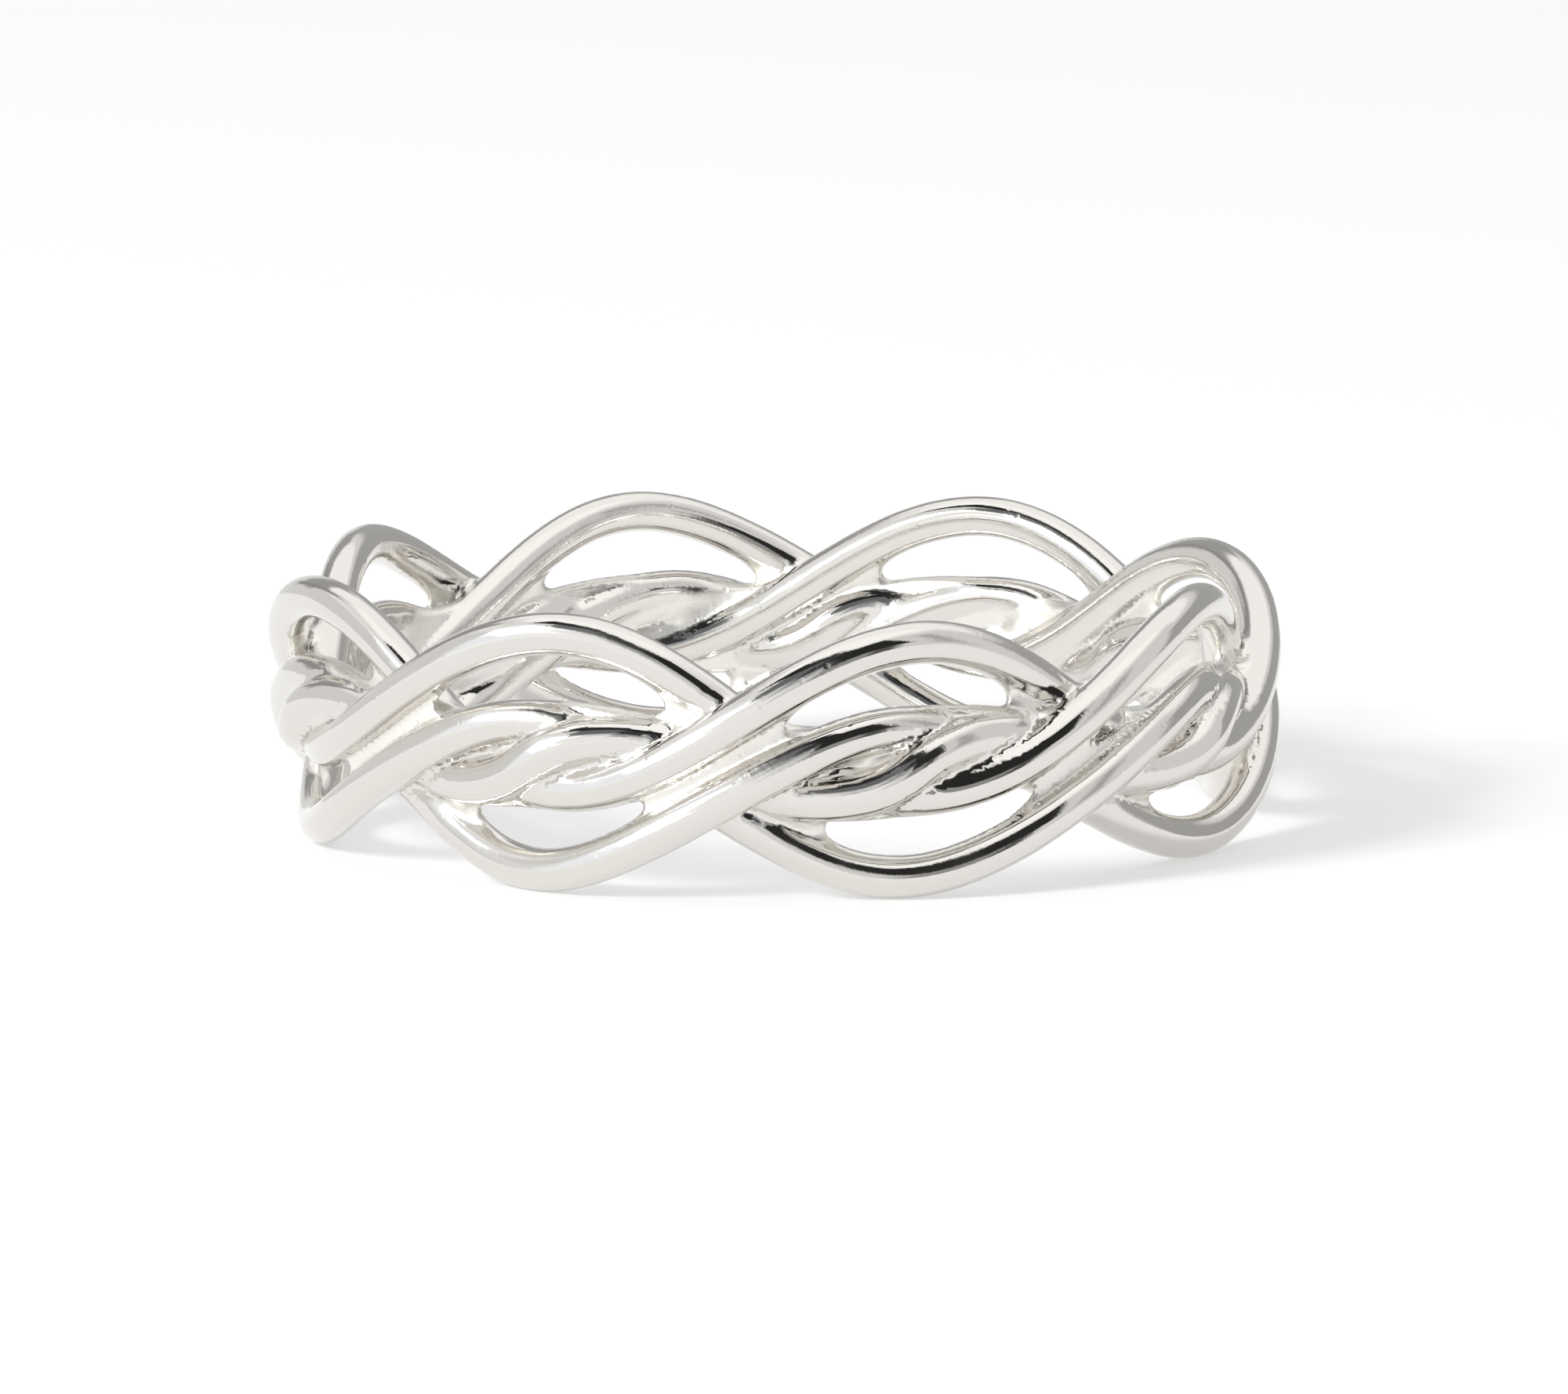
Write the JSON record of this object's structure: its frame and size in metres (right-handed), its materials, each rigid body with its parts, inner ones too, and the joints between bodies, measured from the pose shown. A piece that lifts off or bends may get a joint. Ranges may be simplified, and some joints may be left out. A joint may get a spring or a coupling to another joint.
{
  "type": "braided band ring",
  "caption": "Finger ring cast in one piece: an open band of round strands braided over and under each other, with wavy edges.",
  "frame": {"origin": "on the ring's axis, level with the lowest points of the lower lobes, where it lies on a surface", "axes": "+Z along the ring's axis, upwards; -Y towards the front of the ring as pictured"},
  "size_m": [0.0204, 0.0204, 0.0055],
  "materials": {
    "silver": "polished cast silver"
  },
  "bodies": {
    "root": {"braided_band": "silver"}
  },
  "joints": []
}
